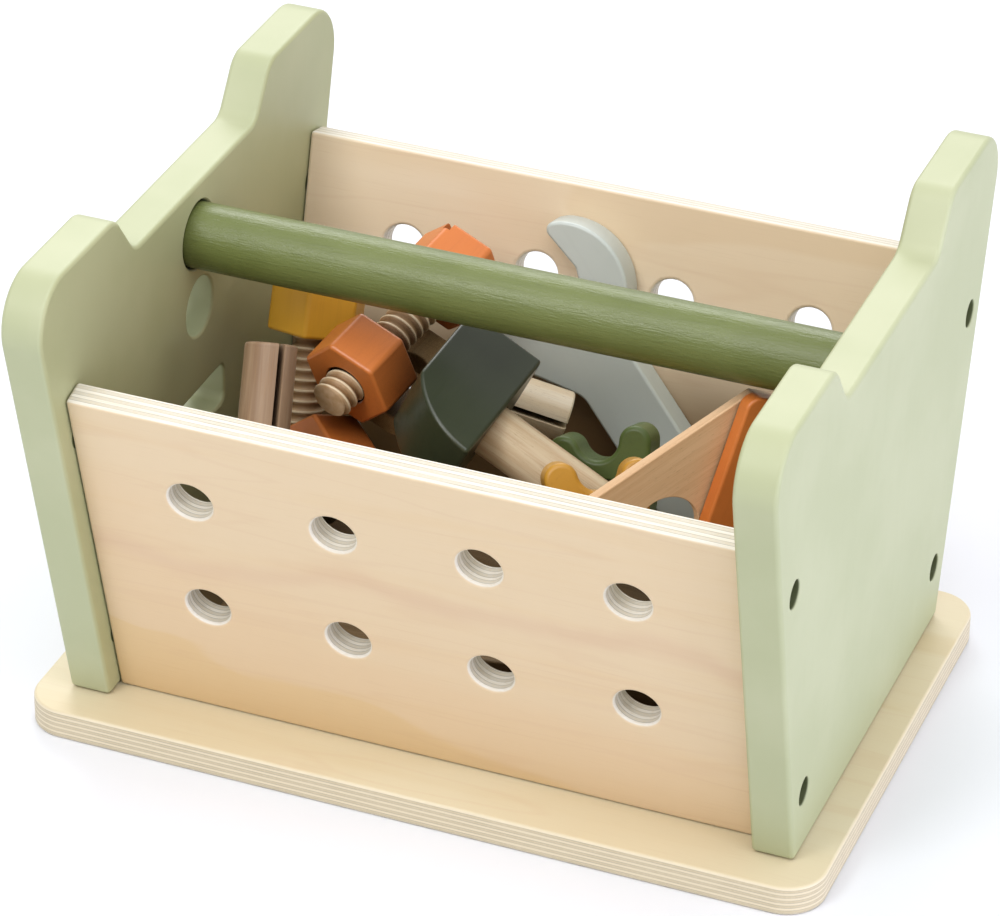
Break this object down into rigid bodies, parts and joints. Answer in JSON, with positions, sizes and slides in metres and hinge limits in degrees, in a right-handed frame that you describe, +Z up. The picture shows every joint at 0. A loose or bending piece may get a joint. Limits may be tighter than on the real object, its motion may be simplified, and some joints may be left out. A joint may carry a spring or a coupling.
{
  "type": "wooden toy workshop set",
  "caption": "Open wooden toy tool box with perforated leaning sides and a round carrying rod, holding a hammer, wrench, set square, threaded bolts, nuts, pegs and planks.",
  "frame": {"origin": "middle of the underside of the base plate", "axes": "+X along the box towards the end panel without openings, -Y is the long side with the tools seen from the front, +Z up"},
  "size_m": [0.3, 0.2488, 0.1983],
  "materials": {
    "birch_plywood": "clear satin lacquer over birch plywood, plies showing on the edges",
    "sage_paint": "soft satin pale sage paint on wood",
    "green_paint": "satin olive green paint, wood grain showing through",
    "screw_steel": "dull steel",
    "beech": "bare or oiled beech, fine grain",
    "orange_paint": "satin orange paint on wood",
    "yellow_paint": "satin mustard yellow paint on wood",
    "dark_green_paint": "satin dark grey green paint on wood",
    "leaf_green_paint": "satin leaf green paint on wood",
    "grey_paint": "satin grey paint on wood"
  },
  "bodies": {
    "toolbox": {"base_plate": "birch_plywood", "end_panel_left": "sage_paint", "end_panel_right": "sage_paint", "front_panel": "birch_plywood", "back_panel": "birch_plywood", "handle_rod": "green_paint", "screw_left_front_upper": "screw_steel", "screw_left_front_lower": "screw_steel", "screw_left_back_upper": "screw_steel", "screw_left_back_lower": "screw_steel", "screw_right_front_upper": "screw_steel", "screw_right_front_lower": "screw_steel", "screw_right_back_upper": "screw_steel", "screw_right_back_lower": "screw_steel"},
    "short_plank": {"plank_short": "beech"},
    "orange_bolt": {"bolt_orange_shank": "beech", "bolt_orange_head": "orange_paint"},
    "orange_nut": {"nut_orange": "orange_paint"},
    "yellow_bolt": {"bolt_yellow_shank": "beech", "bolt_yellow_head": "yellow_paint"},
    "loose_nut": {"nut_orange_loose": "orange_paint"},
    "left_peg": {"peg_left": "beech"},
    "right_peg": {"peg_right": "beech"},
    "hammer": {"hammer_head": "dark_green_paint", "hammer_handle": "beech"},
    "wrench": {"wrench": "grey_paint"},
    "set_square": {"set_square_blade": "beech", "set_square_bar": "orange_paint"},
    "green_wing_nut": {"wing_nut_green": "leaf_green_paint"},
    "yellow_wing_nut": {"wing_nut_yellow": "yellow_paint"},
    "long_plank_1": {"plank_long_1": "beech"},
    "long_plank_2": {"plank_long_2": "beech"},
    "long_plank_3": {"plank_long_3": "beech"},
    "long_plank_4": {"plank_long_4": "beech"}
  },
  "joints": [
    {"name": "short_plank_lift", "type": "slide", "parent": "toolbox", "child": "short_plank", "axis": [0.037, 0.6091, 0.7922], "range_m": [0, 0.153]},
    {"name": "orange_bolt_turn", "type": "hinge", "parent": "short_plank", "child": "orange_bolt", "pos_m": [-0.0657, -0.0124, 0.109], "axis": [0.2519, 0.9288, 0.2719], "range_deg": [0, 2880]},
    {"name": "orange_nut_travel", "type": "slide", "parent": "short_plank", "child": "orange_nut", "axis": [0.2519, 0.9288, 0.2719], "range_m": [0, 0.032]},
    {"name": "yellow_bolt_lift", "type": "slide", "parent": "toolbox", "child": "yellow_bolt", "axis": [-0.0682, 0.0625, 0.9957], "range_m": [0, 0.149]},
    {"name": "loose_nut_draw", "type": "slide", "parent": "toolbox", "child": "loose_nut", "axis": [0.4342, -0.8021, 0.41], "range_m": [0, 0.08]},
    {"name": "left_peg_lift", "type": "slide", "parent": "toolbox", "child": "left_peg", "axis": [0.0534, 0, 0.9986], "range_m": [0, 0.117]},
    {"name": "right_peg_lift", "type": "slide", "parent": "toolbox", "child": "right_peg", "axis": [0.149, -0.0948, 0.9843], "range_m": [0, 0.134]},
    {"name": "hammer_draw", "type": "slide", "parent": "toolbox", "child": "hammer", "axis": [0.0382, 0.7853, 0.618], "range_m": [0, 0.015]},
    {"name": "wrench_lift", "type": "slide", "parent": "toolbox", "child": "wrench", "axis": [0.0534, 0, 0.9986], "range_m": [0, 0.194]},
    {"name": "set_square_draw", "type": "slide", "parent": "toolbox", "child": "set_square", "axis": [-0.7455, -0.572, 0.342], "range_m": [0, 0.036]},
    {"name": "green_wing_nut_lift", "type": "slide", "parent": "toolbox", "child": "green_wing_nut", "axis": [0.0858, 0.112, 0.99], "range_m": [0, 0.152]},
    {"name": "yellow_wing_nut_lift", "type": "slide", "parent": "toolbox", "child": "yellow_wing_nut", "axis": [-0.2161, -0.2589, 0.9414], "range_m": [0, 0.144]},
    {"name": "long_plank_1_shift", "type": "slide", "parent": "toolbox", "child": "long_plank_1", "axis": [1, 0, 0], "range_m": [-0.014, 0.02]},
    {"name": "long_plank_2_shift", "type": "slide", "parent": "toolbox", "child": "long_plank_2", "axis": [1, 0, 0], "range_m": [-0.02, 0.014]},
    {"name": "long_plank_3_shift", "type": "slide", "parent": "toolbox", "child": "long_plank_3", "axis": [1, 0, 0], "range_m": [-0.018, 0.018]},
    {"name": "long_plank_4_shift", "type": "slide", "parent": "toolbox", "child": "long_plank_4", "axis": [1, 0, 0], "range_m": [-0.014, 0.02]}
  ],
  "couplings": [
    {"joint": "orange_nut_travel", "follows": "orange_bolt_turn", "m_per_rad": 0.00063662}
  ]
}
